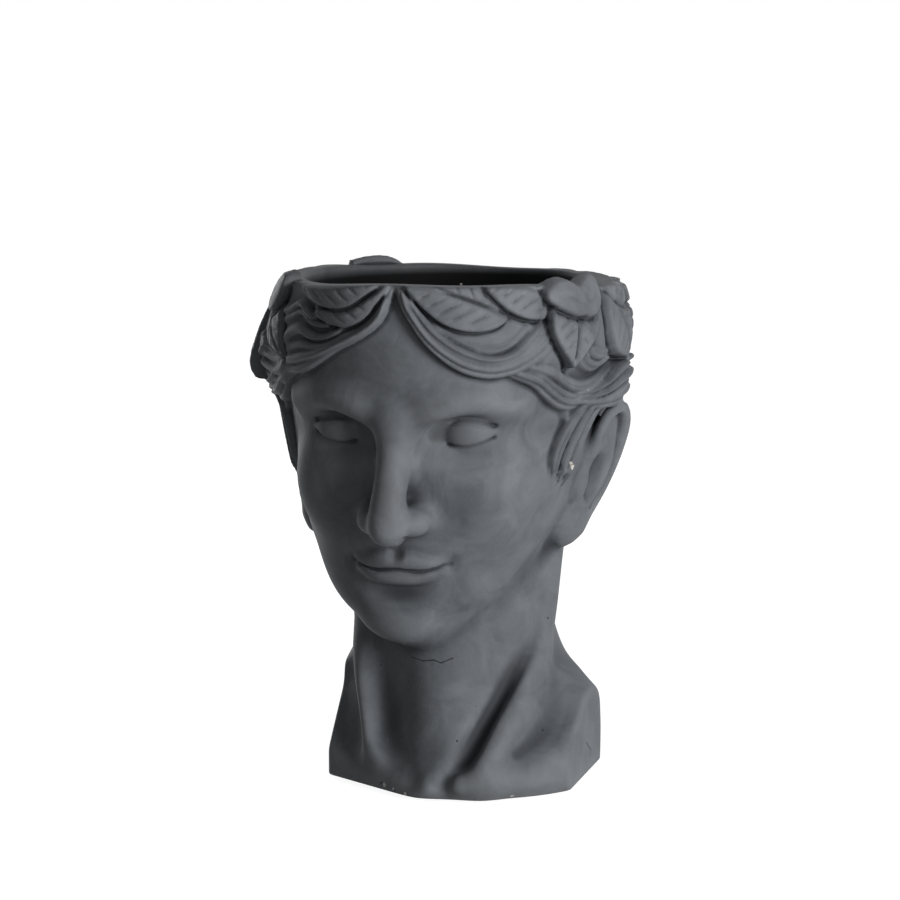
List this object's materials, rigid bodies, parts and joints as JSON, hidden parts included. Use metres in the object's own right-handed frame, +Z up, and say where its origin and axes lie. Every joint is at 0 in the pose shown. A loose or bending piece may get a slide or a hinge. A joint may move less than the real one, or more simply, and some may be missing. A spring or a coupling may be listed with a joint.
{
  "type": "head planter",
  "caption": "Hollow cast bust used as a planter: a calm head with combed hair and a laurel crown, open at the top to hold a plant, with a pull-out drain stopper and felt feet.",
  "frame": {"origin": "on the floor under the middle of the planter's outline", "axes": "+Z up; the face looks along -Y; the figure's own left is +X"},
  "size_m": [0.1692, 0.1769, 0.227],
  "materials": {
    "painted_cast": "matte charcoal paint on a cement casting",
    "stopper_rubber": "moulded black rubber",
    "felt": "pressed grey felt"
  },
  "bodies": {
    "planter": {"planter_body": "painted_cast", "foot_front_right": "felt", "foot_front_left": "felt", "foot_back_right": "felt", "foot_back_left": "felt"},
    "stopper": {"drain_stopper": "stopper_rubber"}
  },
  "joints": [
    {"name": "stopper_lift", "type": "slide", "parent": "planter", "child": "stopper", "axis": [0, 0, 1], "range_m": [0, 0.03]}
  ]
}
